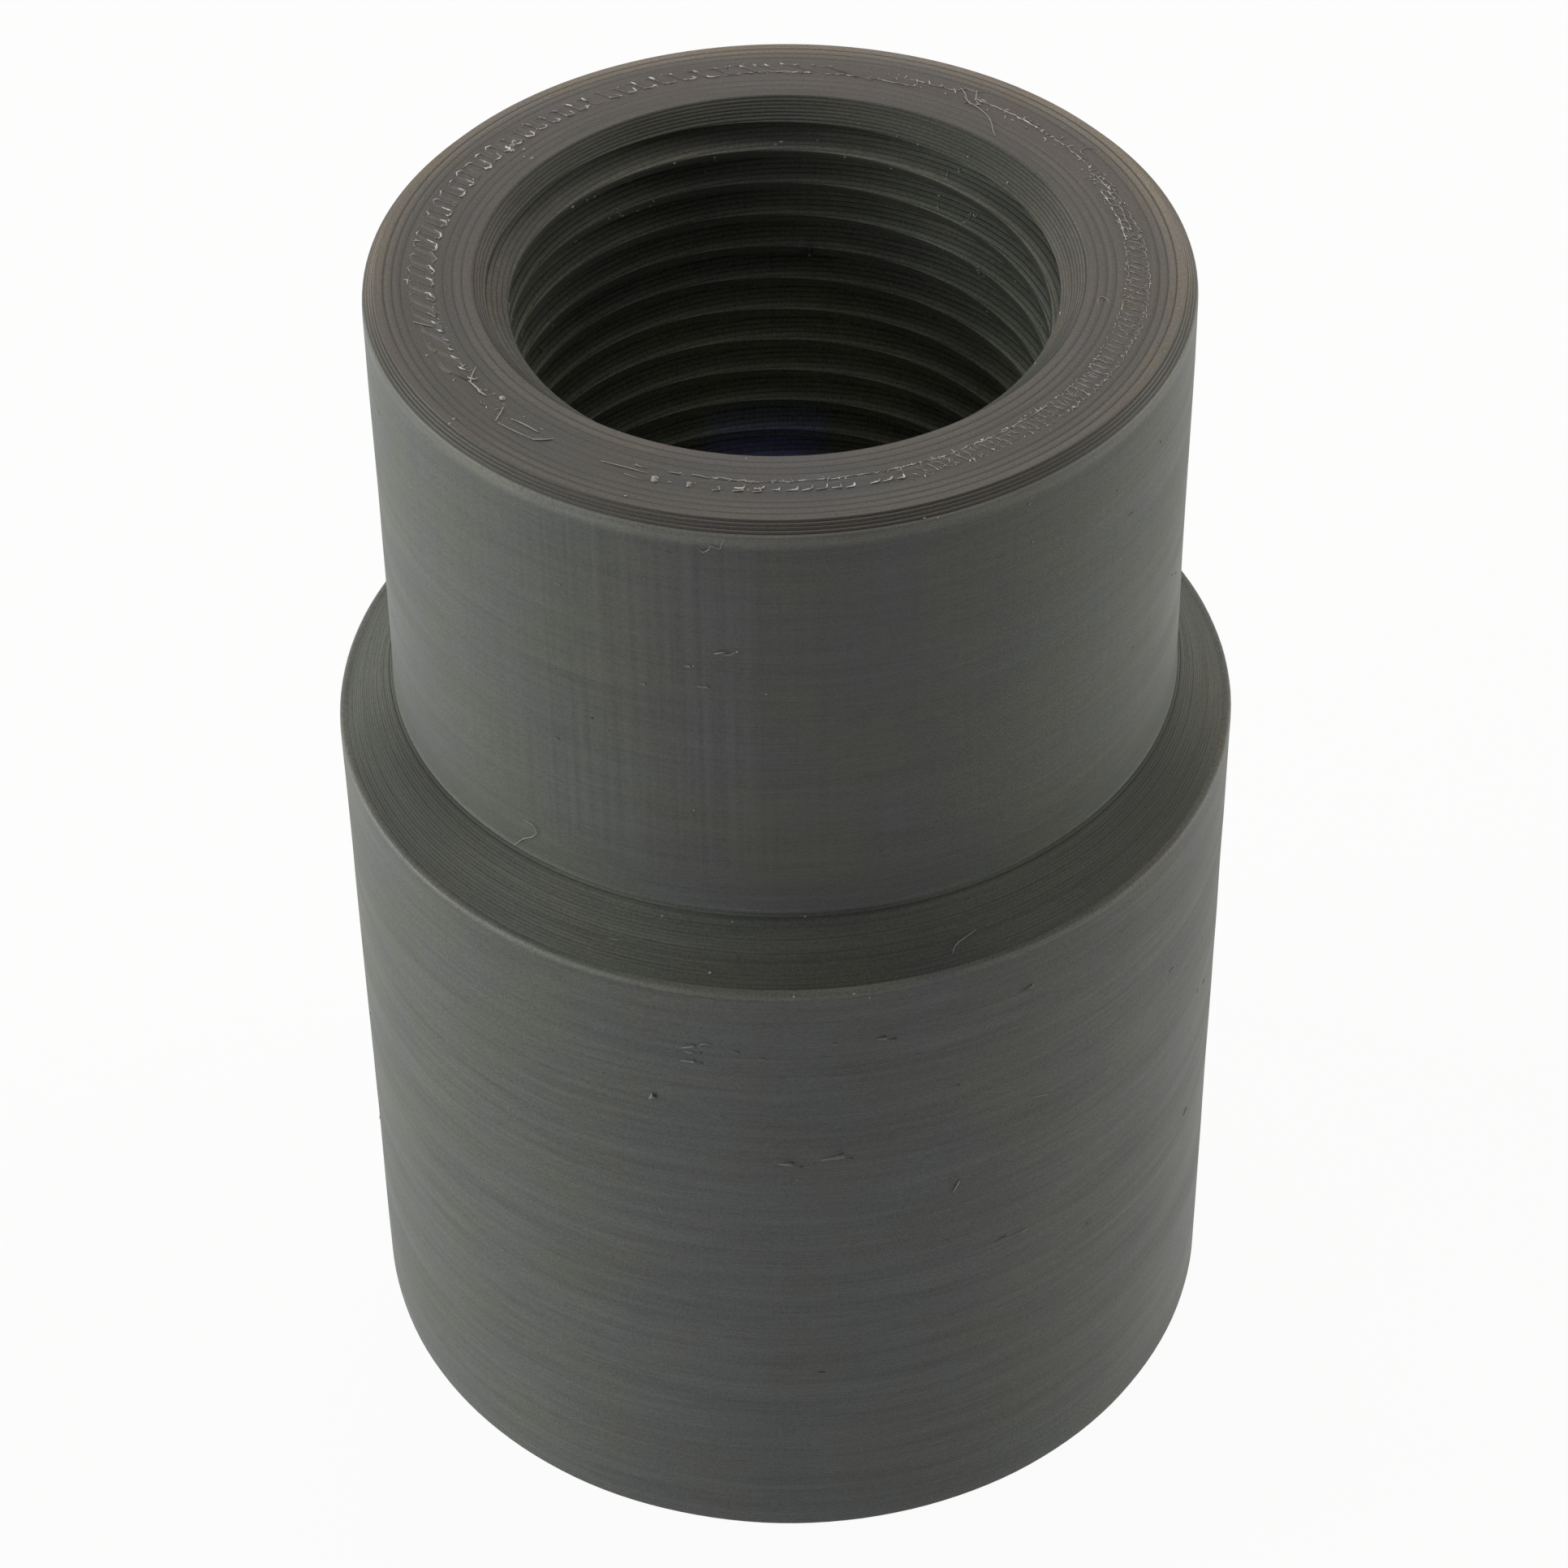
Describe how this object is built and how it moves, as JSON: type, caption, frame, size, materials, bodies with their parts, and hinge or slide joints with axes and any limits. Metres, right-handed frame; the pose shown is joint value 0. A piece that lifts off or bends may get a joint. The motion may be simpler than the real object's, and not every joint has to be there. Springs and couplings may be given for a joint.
{
  "type": "conduit adapter",
  "caption": "Round plastic adapter: a neck with an internal pipe thread and lead-in chamfer, a sloped shoulder, and a wider body with a plain conduit socket.",
  "frame": {"origin": "centre of the flat bottom rim, on the common axis of the socket and the thread", "axes": "+Z along the axis, from the socket's mouth up to the threaded mouth; the thread's start sets X"},
  "size_m": [0.0426, 0.0426, 0.0612],
  "materials": {
    "printed_plastic": "dark grey layered plastic print, satin, with fine horizontal layer lines and concentric lines on its flat top"
  },
  "bodies": {
    "root": {"adapter_body": "printed_plastic"}
  },
  "joints": []
}
